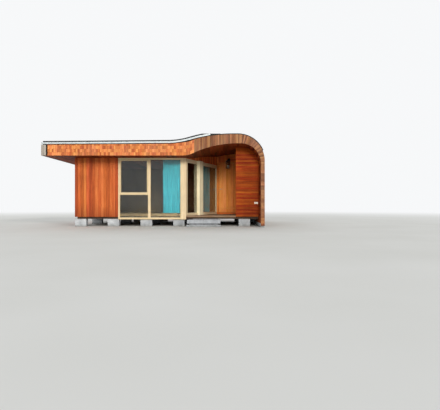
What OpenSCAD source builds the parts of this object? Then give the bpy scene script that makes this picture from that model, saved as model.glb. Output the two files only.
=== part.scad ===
// Curved-roof timber cabin, millimetres.
// X runs along the front (right is plus), Y runs to the back, Z is up.
// The origin is the middle of the roof's outline, on the ground.

/* [Overall size] */
// width over the roof
roof_w = 8260; // [7000:10:10000]
// depth over the roof
roof_d = 6400; // [4800:10:8000]
// underside of the flat part of the roof
eave_z = 2657; // [2400:1:2900]
// underside of the arch
arch_z = 3110; // [2900:1:3300]
// upper edge of the boards at the left end
edge_left_z = 3055; // [2950:1:3250]
// upper edge of the boards where the wave begins
edge_wave_z = 3095; // [2950:1:3250]
// upper edge of the boards on the arch
crest_z = 3445; // [3350:1:3900]

/* [Walls and floor] */
// front overhang of the roof
front_over = 800; // [400:10:1200]
// rear overhang of the roof
rear_over = 300; // [0:10:800]
// left overhang of the roof
left_over = 970; // [600:10:1400]
// wall thickness
wall_t = 160; // [100:5:250]
// top of the concrete blocks
block_top = 290; // [150:5:400]
// top of the floor frame
frame_top = 392; // [300:1:500]
// top of the inner floor
floor_top = 500; // [400:5:600]
// top of the porch deck
deck_top = 420; // [350:5:500]

/* [Porch] */
// from the right edge of the roof to the front corner of the screen
screen_in = 2972; // [2800:1:3300]
// length of the screen
screen_len = 3100; // [2500:10:3600]
// angle of the screen to the front
screen_angle = 67.8; // [60:0.1:80]
// length of the wall with the door
door_wall_len = 930; // [900:5:1100]
// width of the door leaf
leaf_w = 815; // [760:1:900]
// thickness of the door leaf
leaf_t = 45; // [35:1:60]
// underside of the door leaf
leaf_bottom = 510; // [500:1:560]
// top of the door leaf
leaf_top = 2705; // [2500:5:2800]
// from the right edge of the roof to the boarded wall beside the porch
cheek_in = 1041; // [900:1:1150]

/* [Windows] */
// width of the front glazing
win_w = 2442; // [2200:1:2700]
// from the left of the front glazing to the centre of its middle post
win_mid_in = 1208; // [1000:1:1400]
// underside of the front glazing
win_z0 = 275; // [250:5:380]
// width of the corner post between the glazing and the screen
corner_w = 194; // [150:1:260]

/* [Hidden] */
$fn = 180;
half_w = roof_w / 2;
half_d = roof_d / 2;
fascia_t = 40;
lining = 18;
skin = 30;
front_y = -half_d + front_over;
rear_y = half_d - rear_over;
left_x = -half_w + left_over;
screen_x = half_w - screen_in;
cheek_x = half_w - cheek_in;
win_x1 = screen_x - corner_w;
win_x0 = win_x1 - win_w;
win_mid = win_x0 + win_mid_in;
// gap round the door leaf
clear = 5;
// joint between pieces that meet at the slanted walls
fit = 0.3;
// how far the sectors below reach above their lines
sector_h = 250;

// inner line of the roof: flat, hollow arc, long arc, corner arc, leg
in_angle = 25;
in_r1 = 886;
in_r2 = (arch_z - eave_z) / (1 - cos(in_angle)) - in_r1;
in_flat = 113;
leg_in = half_w - 147;
in_r = 740;
in_cx = leg_in - in_r;
in_cz = arch_z - in_r;
in_crest_x = in_cx - in_flat;
in_x0 = in_crest_x - (in_r1 + in_r2) * sin(in_angle);
in_xj = in_x0 + in_r1 * sin(in_angle);
in_zj = eave_z + in_r1 * (1 - cos(in_angle));

// outer line of the roof
out_angle = atan(7 / 24);
out_flat = 171;
out_r1 = 3000;
out_r2 = (crest_z - edge_wave_z) / (1 - cos(out_angle)) - out_r1;
out_r = 985;
out_cx = half_w - out_r;
out_cz = crest_z - out_r;
out_crest_x = out_cx - out_flat;
out_x0 = out_crest_x - (out_r1 + out_r2) * sin(out_angle);
out_xj = out_x0 + out_r1 * sin(out_angle);
out_zj = edge_wave_z + out_r1 * (1 - cos(out_angle));

// where the roof is divided: wave and crown, crown and shoulder, shoulder and leg
crown_x = out_x0 + 1476;
shoulder_x = in_crest_x + 60;
leg_z = in_cz + 30;
leg_foot = 150;
fascia_foot = 60;
above_roof = crest_z + 500;

// porch: u runs along the screen, m points from it into the porch
u = [cos(screen_angle), sin(screen_angle)];
m = [sin(screen_angle), -cos(screen_angle)];
p0 = [screen_x, front_y];
p1 = p0 + screen_len * u;
q0 = p1 + door_wall_len * m;
cheek = [cheek_x, front_y];
function on_cheek(y) = cheek + (q0 - cheek) * (y - front_y) / (q0[1] - front_y);
cheek_back = on_cheek(front_y + wall_t);
cheek_t = 125;
post_len = 60;
post_foot = 270;
edge_board_t = 28;
edge_board_z = 350;
deck_front = front_y + edge_board_t;

// door, in the frame of its wall: x along m, y along u, z up
jamb = 50;
leaf_x1 = door_wall_len - jamb - clear;
leaf_x0 = leaf_x1 - leaf_w;
leaf_y0 = 105;
// the hinge line, just inside the room
hinge_x = leaf_x1 + 2.5;
hinge_y = wall_t + 15;
hinge_zs = [760, 1600, 2440];
barrel_r = 9;
pin_r = 4;
pin_play = 0.08;
plate_t = 3;
hinge_half = 50;
knuckle_half = 16;
knuckle_gap = 1;

// regions under the two roof lines, in x and z
module under_inner(off = 0) {
    translate([-half_w - 200, 0]) square([half_w + 200 + in_x0, eave_z + off]);
    difference() {
        polygon([[in_x0, 0], [in_xj, 0], [in_xj, in_zj],
                 [in_xj - sector_h * sin(in_angle), in_zj + sector_h * cos(in_angle)],
                 [in_x0, in_zj + sector_h]]);
        translate([in_x0, eave_z + in_r1]) circle(r = in_r1 - off, $fn = 720);
    }
    intersection() {
        polygon([[in_xj, 0], [in_crest_x, 0], [in_crest_x, arch_z + sector_h],
                 [in_xj - sector_h * sin(in_angle), in_zj + sector_h * cos(in_angle)], [in_xj, in_zj]]);
        translate([in_crest_x, arch_z - in_r2]) circle(r = in_r2 + off, $fn = 720);
    }
    translate([in_crest_x, 0]) square([in_cx - in_crest_x, arch_z + off]);
    intersection() {
        translate([in_cx, in_cz]) square([in_r + off + 10, in_r + off + 10]);
        translate([in_cx, in_cz]) circle(r = in_r + off);
    }
    translate([in_cx, 0]) square([in_r + off, in_cz]);
}

module under_outer(off = 0) {
    polygon([[-half_w, 0], [out_x0, 0], [out_x0, edge_wave_z + off], [-half_w, edge_left_z + off]]);
    difference() {
        polygon([[out_x0, 0], [out_xj, 0], [out_xj, out_zj],
                 [out_xj - sector_h * sin(out_angle), out_zj + sector_h * cos(out_angle)],
                 [out_x0, out_zj + sector_h]]);
        translate([out_x0, edge_wave_z + out_r1]) circle(r = out_r1 - off, $fn = 720);
    }
    intersection() {
        polygon([[out_xj, 0], [out_crest_x, 0], [out_crest_x, crest_z + sector_h],
                 [out_xj - sector_h * sin(out_angle), out_zj + sector_h * cos(out_angle)], [out_xj, out_zj]]);
        translate([out_crest_x, crest_z - out_r2]) circle(r = out_r2 + off, $fn = 720);
    }
    translate([out_crest_x, 0]) square([out_cx - out_crest_x, crest_z + off]);
    intersection() {
        translate([out_cx, out_cz]) square([out_r + 10, out_r + off + 10]);
        translate([out_cx, out_cz]) circle(r = out_r + off);
    }
    translate([out_cx, 0]) square([out_r, out_cz]);
}

// a shape drawn in x and z, run from y0 to y1
module run_y(y0, y1) {
    translate([0, y1, 0]) rotate([90, 0, 0]) linear_extrude(height = y1 - y0) children();
}

module box3(a, b) {
    translate(a) cube(b - a);
}

// a plan drawn in x and y, from z0 up to the underside of the roof
module up_to_roof(z0) {
    intersection() {
        translate([0, 0, z0]) linear_extrude(height = above_roof) children();
        run_y(-half_d, half_d) under_inner(0);
    }
}

// part of the roof's section between two x
module section_part(x0, x1, z0 = 0, z1 = above_roof) {
    intersection() {
        children();
        translate([x0, z0]) square([x1 - x0, z1 - z0]);
    }
}

module shell_2d() {
    difference() { under_outer(0); under_inner(lining); }
}

module band_2d() {
    difference() { under_outer(0); under_inner(0); }
}

// place a shape in the frame of the door wall
module at_door() {
    translate([p1[0], p1[1], 0]) rotate([0, 0, screen_angle - 90]) children();
}

// place a shape in the frame of the screen: x along it, y away from the porch
module at_screen() {
    translate([p0[0], p0[1], 0]) rotate([0, 0, screen_angle]) children();
}

// Ground and floor

block = [450, 220];
block_in_left = 190;
block_in_right = 553;
block_in_front = 210;
block_in_rear = 180;
block_x0 = left_x + block_in_left;
block_x1 = leg_in - block_in_right;
block_columns = 6;
module foundation_blocks() {
    color("#b9bcc0")
    for (i = [0:block_columns - 1], y = [front_y + block_in_front, 0, rear_y - block_in_rear]) {
        x = block_x0 + i * (block_x1 - block_x0) / (block_columns - 1);
        box3([x - block[0] / 2, y - block[1] / 2, 0], [x + block[0] / 2, y + block[1] / 2, block_top]);
    }
}

// a slab on a narrower course, on a lower slab, in front of the deck
step_x = screen_x + 42;
step_w = 1320;
step_d = 440;
step_under = 100;
slab_z = 75;
bearer_z = 128;
bearer_in = 110;
step_top = 268;
tread_in = 25;
tread_back = 15;
module porch_step() {
    x1 = step_x + step_w;
    y0 = front_y - step_d;
    y1 = front_y + step_under;
    color("#a9adb3") {
        box3([step_x, y0, 0], [x1, y1, slab_z]);
        box3([step_x + bearer_in, y0 + bearer_in, slab_z + fit], [x1 - bearer_in, y1, bearer_z]);
        box3([step_x + tread_in, y0 + tread_back, bearer_z + fit], [x1 - tread_in, y1, step_top]);
    }
}

module leg_footing() {
    color("#b9bcc0") box3([leg_in - 10, -half_d + 80, 0], [half_w - 5, half_d - 80, leg_foot]);
}

// two outer beams and a middle one, with joists between them
beam_w = 60;
mid_beam = 100;
joist_bays = 10;
frame_x0 = left_x + 70;
frame_x1 = leg_in - 10;
frame_y0 = front_y + 90;
frame_y1 = rear_y - 70;
module floor_frame() {
    half = mid_beam / 2;
    beams = [[frame_y0, frame_y0 + beam_w], [-half, half], [frame_y1 - beam_w, frame_y1]];
    color("#7a5a40") {
        for (y = beams)
            box3([frame_x0, y[0], block_top], [frame_x1, y[1], frame_top]);
        for (i = [0:joist_bays], row = [0, 1]) {
            x = frame_x0 + i * (frame_x1 - frame_x0 - beam_w) / joist_bays;
            box3([x, beams[row][1] + fit, block_top], [x + beam_w, beams[row + 1][0] - fit, frame_top]);
        }
    }
}

// the walls' inner faces, clear of the slanted ones by the joint
function inner_plan(t = wall_t + fit) = [
    [left_x + wall_t, front_y + wall_t], [win_x0, front_y + wall_t],
    [win_x0, front_y + win_t + 2], [win_x1, front_y + win_t + 2],
    [win_x1, (p0 + post_len * u - t * m)[1]],
    p0 + post_len * u - t * m, p1 - t * m, p1 - t * m + t * u,
    p1 + t * u, q0 + t * u, q0 + t * u + [cheek_t + fit, 0],
    [cheek_back[0] + cheek_t + fit, front_y + wall_t], [leg_in, front_y + wall_t],
    [leg_in, rear_y - wall_t], [left_x + wall_t, rear_y - wall_t]
];

module floor_panel() {
    color("#c79a66") translate([0, 0, frame_top])
        linear_extrude(height = floor_top - frame_top) polygon(inner_plan());
}

// the deck keeps a gap to the walls round it
deck_gap = 3;
module porch_deck() {
    color("#8a6a4c") translate([0, 0, frame_top])
        linear_extrude(height = deck_top - frame_top)
            polygon([p0 + edge_board_t / u[1] * u + [deck_gap / u[1], 0], p1 + deck_gap * (m - u),
                     q0 - deck_gap * (m + u), on_cheek(deck_front) - [deck_gap, 0]]);
}

module porch_edge_board() {
    color("#8a6a4c") translate([0, 0, edge_board_z])
        linear_extrude(height = deck_top - edge_board_z)
            polygon([p0 + [deck_gap, 0], p0 + edge_board_t / u[1] * u + [deck_gap, 0],
                     on_cheek(deck_front) - [deck_gap, 0], cheek - [deck_gap, 0]]);
}

// Walls

module left_wall() {
    color("#b8683a") up_to_roof(frame_top)
        translate([left_x, front_y]) square([wall_t, rear_y - front_y]);
}

module front_wall_left() {
    color("#b8683a") up_to_roof(frame_top)
        translate([left_x + wall_t, front_y]) square([win_x0 - left_x - wall_t, wall_t]);
}

// notched over the floor frame
module corner_post() {
    color("#e0c296") difference() {
        up_to_roof(post_foot)
            polygon([[win_x1, front_y], p0, p0 + post_len * u, p0 + post_len * u - wall_t * m,
                     [win_x1, (p0 + post_len * u - wall_t * m)[1]]]);
        box3([win_x1 - 1, frame_y0, post_foot - 1], [screen_x + wall_t, frame_y0 + wall_t, frame_top]);
    }
}

module wall_over_screen() {
    color("#7c3a20") intersection() {
        up_to_roof(frame_top)
            polygon([p0 + post_len * u, p1, p1 - wall_t * m, p0 + post_len * u - wall_t * m]);
        translate([0, -half_d, scr_z1 + fit]) cube([half_w, roof_d, above_roof]);
    }
}

module inner_post() {
    color("#7c3a20") up_to_roof(frame_top)
        polygon([p1, p1 + wall_t * u, p1 + wall_t * u - wall_t * m, p1 - wall_t * m]);
}

module wall_over_door() {
    color("#7c3a20") intersection() {
        up_to_roof(frame_top) polygon([p1, q0, q0 + wall_t * u, p1 + wall_t * u]);
        translate([0, -half_d, leaf_top + clear + jamb + fit]) cube([half_w, roof_d, above_roof]);
    }
}

module porch_side_wall() {
    color("#9a4622") up_to_roof(frame_top)
        polygon([cheek_back, q0, q0 + wall_t * u, q0 + wall_t * u + [cheek_t, 0],
                 [cheek_back[0] + cheek_t, cheek_back[1]]]);
}

module right_front_wall() {
    color("#9a4622") up_to_roof(frame_top)
        polygon([cheek, [leg_in, front_y], [leg_in, front_y + wall_t], cheek_back]);
}

module rear_wall_left() {
    color("#b8683a") up_to_roof(frame_top)
        translate([left_x + wall_t, rear_y - wall_t]) square([out_x0 - left_x - wall_t, wall_t]);
}

module rear_wall_right() {
    color("#b8683a") up_to_roof(frame_top)
        translate([out_x0, rear_y - wall_t]) square([leg_in - out_x0, wall_t]);
}

// Glazing and door

win_f = 62;
win_t = 80;
win_sill = 60;
win_side = 20;
win_mid_half = 45;
win_rail_z = 1230;
win_rail_h = 80;
sash = 40;
sash_top = 100;
glass_t = 24;
glass_back = 30;
// the three openings: low left, high left inside its sash, and right
function win_panes() = [
    [[win_x0 + win_f, win_z0 + win_sill], [win_mid - win_mid_half, win_rail_z]],
    [[win_x0 + win_f + sash, win_rail_z + win_rail_h], [win_mid - win_mid_half - sash, eave_z - sash_top]],
    [[win_mid + win_mid_half, win_z0 + win_sill], [win_x1 - win_side, eave_z - win_f]]
];

// the panes of the front glazing, from y0 to y1 behind its face
module win_pane_boxes(y0, y1) {
    for (pane = win_panes())
        box3([pane[0][0], front_y + y0, pane[0][1]], [pane[1][0], front_y + y1, pane[1][1]]);
}

// the upper left light is a sash, set in a rebate of the frame and standing a little proud of it
sash_back = 60;
sash_proud = 4;
module front_window_frame() {
    low = win_panes()[1][0] - [sash, sash];
    high = win_panes()[1][1] + [sash, sash];
    color("#e0c296") {
        difference() {
            box3([win_x0, front_y, win_z0], [win_x1, front_y + win_t, eave_z]);
            win_pane_boxes(-1, win_t + 1);
            box3([low[0], front_y - 1, low[1]], [high[0], front_y + sash_back + fit, high[1]]);
        }
        difference() {
            box3([low[0] + fit, front_y - sash_proud, low[1] + fit],
                 [high[0] - fit, front_y + sash_back, high[1] - fit]);
            win_pane_boxes(-sash_proud - 1, win_t);
        }
    }
}

// the screen: sill, head, two jambs, and the double post standing out into the porch
scr_z0 = frame_top;
scr_z1 = 2640;
scr_jamb = 70;
post_s0 = 1035;
post_w = 340;
post_out = 110;
post_groove = 12;
pane_z0 = 508;
pane_z1 = 2505;
screen_glass_y = 20;
screen_glass_t = 28;
module screen_pane_boxes(y0, y1) {
    for (s = [[post_len + scr_jamb, post_s0], [post_s0 + post_w, screen_len - scr_jamb]])
        box3([s[0], y0, pane_z0], [s[1], y1, pane_z1]);
}

module screen_frame() {
    mid = post_s0 + post_w / 2;
    color("#e0c296") at_screen() difference() {
        union() {
            box3([post_len + fit, 0, scr_z0], [screen_len - fit, wall_t, scr_z1]);
            box3([post_s0, -post_out, deck_top], [post_s0 + post_w, 1, scr_z1]);
        }
        screen_pane_boxes(-1, wall_t + 1);
        box3([mid - post_groove / 2, -post_out - 1, deck_top - 1],
             [mid + post_groove / 2, -post_out + 14, scr_z1 + 1]);
    }
}

module window_glass() {
    color("#5d7b80", 0.5) {
        win_pane_boxes(glass_back, glass_back + glass_t);
        at_screen() screen_pane_boxes(screen_glass_y, screen_glass_y + screen_glass_t);
        lantern_panes();
    }
}

stop_w = 18;
module door_frame() {
    head_z = leaf_top + clear;
    color("#c98a52") at_door() difference() {
        box3([fit, 0, frame_top], [door_wall_len - fit, wall_t, head_z + jamb]);
        // the opening, clear of the leaf all round
        box3([jamb, leaf_y0 - clear, leaf_bottom - clear], [door_wall_len - jamb, wall_t + 1, head_z]);
        // the reveal in front of the leaf, narrower by the stop
        box3([jamb + stop_w, -1, leaf_bottom - clear],
             [door_wall_len - jamb - stop_w, leaf_y0, head_z - stop_w]);
    }
}

drip_z = 672;
drip_h = 28;
drip_out = 22;
drip_in = 40;
module door_leaf() {
    color("#c98a52") at_door() {
        box3([leaf_x0, leaf_y0, leaf_bottom], [leaf_x0 + leaf_w, leaf_y0 + leaf_t, leaf_top]);
        // drip bar low on the outside
        box3([leaf_x0 + drip_in, leaf_y0 - drip_out, drip_z],
             [leaf_x0 + leaf_w - drip_in, leaf_y0 + 1, drip_z + drip_h]);
    }
}

// frame side: a plate with two lugs and barrels, and the pin
module hinge_plates() {
    frame_face = wall_t - hinge_y;
    low = knuckle_half + knuckle_gap;
    color("#8c8f92") at_door() for (z = hinge_zs) translate([hinge_x, hinge_y, z]) {
        for (z0 = [-hinge_half, low]) {
            translate([0, 0, z0]) cylinder(h = hinge_half - low, r = barrel_r, $fn = 48);
            box3([0, frame_face, z0], [14, 1, z0 + hinge_half - low]);
        }
        box3([12.5, frame_face, -hinge_half], [47, frame_face + plate_t, hinge_half]);
        translate([0, 0, -hinge_half]) cylinder(h = 2 * hinge_half, r = pin_r, $fn = 48);
    }
}

// leaf side: the middle barrel and its plate
module leaf_hinges() {
    leaf_face = leaf_y0 + leaf_t - hinge_y;
    leaf_edge = leaf_x1 - hinge_x;
    color("#8c8f92") at_door() for (z = hinge_zs) translate([hinge_x, hinge_y, z]) difference() {
        union() {
            translate([0, 0, -knuckle_half]) cylinder(h = 2 * knuckle_half, r = barrel_r, $fn = 48);
            box3([-12, leaf_face, -knuckle_half], [leaf_edge, 2, knuckle_half]);
            box3([-62, leaf_face, -hinge_half], [leaf_edge, leaf_face + plate_t, hinge_half]);
        }
        translate([0, 0, -knuckle_half - 1])
            cylinder(h = 2 * knuckle_half + 2, r = pin_r + pin_play, $fn = 48);
    }
}

// a lever on each side of the leaf, on a round rose
handle_in = 75;
handle_z = 1555;
handle_out = 50;
handle_d = 18;
rose = [52, 8];
lever = [125, 14, 16];
module door_handle() {
    color("#8c8f92") at_door() for (way = [-1, 1])
        translate([leaf_x0 + handle_in, way < 0 ? leaf_y0 : leaf_y0 + leaf_t, handle_z]) {
            rotate([way * -90, 0, 0]) {
                cylinder(h = rose[1], d = rose[0], $fn = 40);
                cylinder(h = handle_out, d = handle_d, $fn = 32);
            }
            translate([-handle_d / 2, way < 0 ? -handle_out : handle_out - lever[1], -lever[2] / 2])
                cube(lever);
        }
}

curtain_t = 40;
curtain_up = 20;
curtain_front_w = 704;
curtain_front_in = 10;
curtain_screen_w = 1200;
curtain_screen_in = 88;
curtain_over = 60;
module curtain_front() {
    x1 = win_x1 - curtain_front_in;
    y0 = front_y + win_t;
    color("#5fb2b8")
        box3([x1 - curtain_front_w, y0, floor_top + curtain_up], [x1, y0 + curtain_t, eave_z]);
}

module curtain_screen() {
    s0 = post_s0 + post_w + curtain_screen_in;
    y0 = wall_t + fit;
    color("#5fb2b8") at_screen()
        box3([s0, y0, floor_top + curtain_up],
             [s0 + curtain_screen_w, y0 + curtain_t, scr_z1 + curtain_over]);
}

// Roof

roof_y0 = -half_d + fascia_t;
roof_y1 = half_d - fascia_t;

module roof_left() {
    color("#a98a63") run_y(roof_y0, roof_y1)
        section_part(-half_w + fascia_t, out_x0) shell_2d();
}

module roof_wave() {
    color("#a98a63") run_y(roof_y0, roof_y1) section_part(out_x0, crown_x) shell_2d();
}

module roof_crown() {
    color("#a98a63") run_y(roof_y0, roof_y1) section_part(crown_x, shoulder_x) shell_2d();
}

module roof_shoulder() {
    color("#a98a63") run_y(roof_y0, roof_y1) section_part(shoulder_x, half_w, leg_z) shell_2d();
}

module shell_wall_right() {
    color("#a98a63") run_y(roof_y0, roof_y1) section_part(shoulder_x, half_w, leg_foot, leg_z) shell_2d();
}

module lining_2d() {
    difference() { under_inner(lining); under_inner(0); }
}

module ceiling_left() {
    color("#7c3a20") run_y(roof_y0, roof_y1)
        section_part(-half_w + fascia_t, in_x0) lining_2d();
}

module arch_lining() {
    color("#7c3a20") run_y(roof_y0, roof_y1) section_part(in_x0, half_w, leg_foot) lining_2d();
}

// a board along the front edge and its like along the rear one
module edge_bands() {
    run_y(-half_d, roof_y0) children();
    run_y(roof_y1, half_d) children();
}

corner_strip = 180;
corner_gap = 55;
module fascia_corner() {
    color("#9b9388") edge_bands() section_part(-half_w, -half_w + corner_strip) band_2d();
}

module fascia_left() {
    color("#c8743f") edge_bands() section_part(-half_w + corner_strip + corner_gap, out_x0) band_2d();
}

module fascia_wave() {
    color("#c8743f") edge_bands() section_part(out_x0, crown_x) band_2d();
}

module fascia_crown() {
    color("#b3673c") edge_bands() section_part(crown_x, half_w, leg_z) band_2d();
}

module fascia_leg() {
    color("#b3673c") edge_bands() section_part(shoulder_x, half_w, fascia_foot, leg_z) band_2d();
}

module fascia_left_side() {
    color("#9b9388") run_y(roof_y0, roof_y1) section_part(-half_w, -half_w + fascia_t) band_2d();
}

// the edge of the roof: a kerb of sheet, and a trim fixed to its face
trim_y = 50;
trim_gap = 30;
trim_h = 92;
trim_end = out_crest_x - 844;
kerb_y = 70;
kerb_h = 145;
kerb_end = out_crest_x - 474;
membrane_end_z = 2850;

// what lies between two offsets of the roof's outer line
module roof_layer(a, b) {
    difference() { under_outer(b); under_outer(a); }
}

module roof_membrane() {
    inner_x = -half_w + trim_y + kerb_y;
    color("#2b2c2e") {
        run_y(-half_d + trim_y, half_d - trim_y)
            section_part(inner_x, half_w, membrane_end_z) roof_layer(0, skin);
        run_y(-half_d, -half_d + trim_y + 1)
            section_part(trim_end, half_w, membrane_end_z) roof_layer(0, skin);
        run_y(half_d - trim_y - 1, half_d)
            section_part(trim_end, half_w, membrane_end_z) roof_layer(0, skin);
    }
}

// its top runs level where the roof comes up to the crest
module roof_kerb() {
    color("#2b2c2e") {
        for (y = [-half_d + trim_y, half_d - trim_y - kerb_y])
            run_y(y, y + kerb_y) section_part(-half_w + trim_y, kerb_end, 0, crest_z + skin)
                roof_layer(skin, kerb_h);
        run_y(-half_d + trim_y, half_d - trim_y)
            section_part(-half_w + trim_y, -half_w + trim_y + kerb_y) roof_layer(0, kerb_h);
    }
}

module edge_trim() {
    color("#b9c4cc") {
        for (y = [-half_d, half_d - trim_y])
            run_y(y, y + trim_y) section_part(-half_w, trim_end) roof_layer(trim_gap, trim_h);
        run_y(-half_d + 1, half_d - 1)
            section_part(-half_w, -half_w + trim_y) roof_layer(trim_gap, trim_h);
    }
}

// Fittings

lantern_x = 605;
lantern_z = leaf_top - 235;
lantern_h = 330;
lantern_out = 150;
lantern_tray = 85;
lantern_cage = 75;
lantern_bar = 10;
lantern_pane = 3;
tray_t = 20;
cage_top = lantern_z + lantern_h;
module about_lantern() {
    at_door() translate([lantern_x, -lantern_out, 0]) children();
}

// an upright square bar about the lantern's middle
module square_bar(half, z0, z1) {
    box3([-half, -half, z0], [half, half, z1]);
}

module wall_lantern() {
    color("#3a3d3c") {
        // plate on the wall, and the arm
        at_door() translate([lantern_x, 0, 0]) {
            box3([-45, -14, cage_top - 20], [45, 0, cage_top + 130]);
            box3([-10, -lantern_out - 10, cage_top + 90], [10, -13, cage_top + 110]);
        }
        about_lantern() {
            // stem and hood
            square_bar(6, cage_top + 50, cage_top + 91);
            translate([0, 0, cage_top]) cylinder(h = 52, r1 = 110, r2 = 30, $fn = 48);
            // tray, and the cage with its four open sides
            square_bar(lantern_tray, lantern_z, lantern_z + tray_t);
            difference() {
                square_bar(lantern_cage, lantern_z + tray_t - 1, cage_top + 1);
                square_bar(lantern_cage - lantern_bar, lantern_z + tray_t, cage_top);
                for (turn = [0, 90]) rotate([0, 0, turn])
                    box3([-lantern_cage + lantern_bar, -lantern_cage - 1, lantern_z + tray_t + lantern_bar],
                         [lantern_cage - lantern_bar, lantern_cage + 1, cage_top - lantern_bar]);
            }
            // lamp holder and lamp
            translate([0, 0, lantern_z + tray_t - 1]) cylinder(h = 60, r = 16, $fn = 32);
            translate([0, 0, lantern_z + 108]) sphere(r = 34, $fn = 32);
        }
    }
}

// four panes inside the cage's bars
module lantern_panes() {
    out = lantern_cage - lantern_bar - fit;
    about_lantern() for (turn = [0:90:270]) rotate([0, 0, turn])
        box3([-out, -out, lantern_z + tray_t + fit],
             [out - lantern_pane - fit, -out + lantern_pane, cage_top - fit]);
}

vent = [144, 18, 76];
vent_z = 872;
vent_in = 33;
module wall_vent() {
    x1 = leg_in - vent_in;
    color("#e6e4de") box3([x1 - vent[0], front_y - vent[1], vent_z], [x1, front_y, vent_z + vent[2]]);
}

foundation_blocks();
porch_step();
leg_footing();
floor_frame();
floor_panel();
porch_deck();
porch_edge_board();
left_wall();
front_wall_left();
corner_post();
wall_over_screen();
inner_post();
wall_over_door();
porch_side_wall();
right_front_wall();
rear_wall_left();
rear_wall_right();
front_window_frame();
screen_frame();
window_glass();
door_frame();
hinge_plates();
door_leaf();
leaf_hinges();
door_handle();
curtain_front();
curtain_screen();
roof_left();
roof_wave();
roof_crown();
roof_shoulder();
shell_wall_right();
ceiling_left();
arch_lining();
fascia_corner();
fascia_left();
fascia_wave();
fascia_crown();
fascia_leg();
fascia_left_side();
roof_membrane();
roof_kerb();
edge_trim();
wall_lantern();
wall_vent();
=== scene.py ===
import random
from bisect import bisect
from math import acos, asin, atan, ceil, copysign, cos, hypot, pi, radians, sin, sqrt

import bpy
from mathutils import Matrix, Vector

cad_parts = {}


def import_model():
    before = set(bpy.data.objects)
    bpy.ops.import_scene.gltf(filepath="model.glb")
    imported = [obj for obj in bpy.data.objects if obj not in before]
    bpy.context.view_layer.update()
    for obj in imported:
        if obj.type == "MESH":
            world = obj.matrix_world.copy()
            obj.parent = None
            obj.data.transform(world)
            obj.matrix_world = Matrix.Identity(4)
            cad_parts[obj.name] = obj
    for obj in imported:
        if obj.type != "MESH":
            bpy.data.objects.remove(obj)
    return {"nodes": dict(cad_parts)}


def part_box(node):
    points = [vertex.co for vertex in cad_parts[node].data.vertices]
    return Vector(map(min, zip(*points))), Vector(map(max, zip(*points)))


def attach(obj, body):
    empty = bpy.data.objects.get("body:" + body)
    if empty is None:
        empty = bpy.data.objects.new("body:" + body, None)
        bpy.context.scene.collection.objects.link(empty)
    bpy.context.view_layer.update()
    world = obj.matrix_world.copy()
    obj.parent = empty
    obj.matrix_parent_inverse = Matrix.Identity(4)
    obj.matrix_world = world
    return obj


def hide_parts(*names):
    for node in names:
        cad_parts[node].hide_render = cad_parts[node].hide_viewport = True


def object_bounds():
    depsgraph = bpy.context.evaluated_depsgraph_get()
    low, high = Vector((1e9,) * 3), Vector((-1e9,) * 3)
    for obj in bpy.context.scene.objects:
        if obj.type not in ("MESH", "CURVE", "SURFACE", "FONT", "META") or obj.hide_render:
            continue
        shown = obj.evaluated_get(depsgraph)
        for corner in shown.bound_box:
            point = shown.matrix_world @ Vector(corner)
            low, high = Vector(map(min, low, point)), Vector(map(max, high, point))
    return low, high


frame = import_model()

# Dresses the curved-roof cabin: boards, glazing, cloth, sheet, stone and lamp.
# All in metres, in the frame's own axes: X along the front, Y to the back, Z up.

scene = bpy.context.scene
CAD_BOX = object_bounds()

# Sizes of the roof's section
HALF_W, HALF_D = CAD_BOX[1][:2]
EAVE, ARCH = 2.657, 3.110
EDGE_LEFT, EDGE_WAVE, CREST = 3.055, 3.095, 3.445
LINING, SKIN, BAND_T, LEG_T = 0.018, 0.030, 0.040, 0.147
LEG_FOOT, BAND_FOOT = 0.150, 0.060
MEMBRANE_END_Z = 2.850
TRIM_END_X = 2.130

# Sizes of the walls and the porch
FRONT_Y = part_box("front_wall_left")[0][1]
REAR_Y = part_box("rear_wall_left")[1][1]
LEFT_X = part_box("left_wall")[0][0]
WALL_T, CLAD = 0.160, 0.022
WALL_FOOT, DECK_TOP = 0.392, 0.420
LEG_IN = HALF_W - LEG_T
(WIN_X0, _, WIN_Z0), (WIN_X1, _, _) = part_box("front_window_frame")
SCREEN_X = HALF_W - 2.972
CHEEK_X = HALF_W - 1.041
SCREEN_ANGLE = radians(67.8)
SCREEN_LEN, DOOR_WALL, POST_LEN = 3.100, 0.930, 0.060
LEAF_Y0, LEAF_Y1 = 0.105, 0.150
U = Vector((cos(SCREEN_ANGLE), sin(SCREEN_ANGLE), 0))
M = Vector((U.y, -U.x, 0))
UP = Vector((0, 0, 1))
P0 = Vector((SCREEN_X, FRONT_Y, 0))
P1 = P0 + SCREEN_LEN * U
Q0 = P1 + DOOR_WALL * M
CHEEK = Vector((CHEEK_X, FRONT_Y, 0))

# Sizes of the boards
GAP = 0.003
WALL_PITCH, PORCH_PITCH, FLAT_PITCH = 0.115, 0.075, 0.076
SOFFIT_PITCH, BAND_PITCH = 0.088, 0.058
TILE_W, TILE_H = 0.074, 0.122
TILE_START, TILE_END_X = 0.235, 1.520
CORNER_STRIP, CORNER_PITCH = 0.180, 0.090
SCREW_ARCH, SCREW_FAN, SCREW_LEG = 0.040, 0.035, 0.030


# The roof's lines. FAN is the middle of the corner arcs

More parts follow.
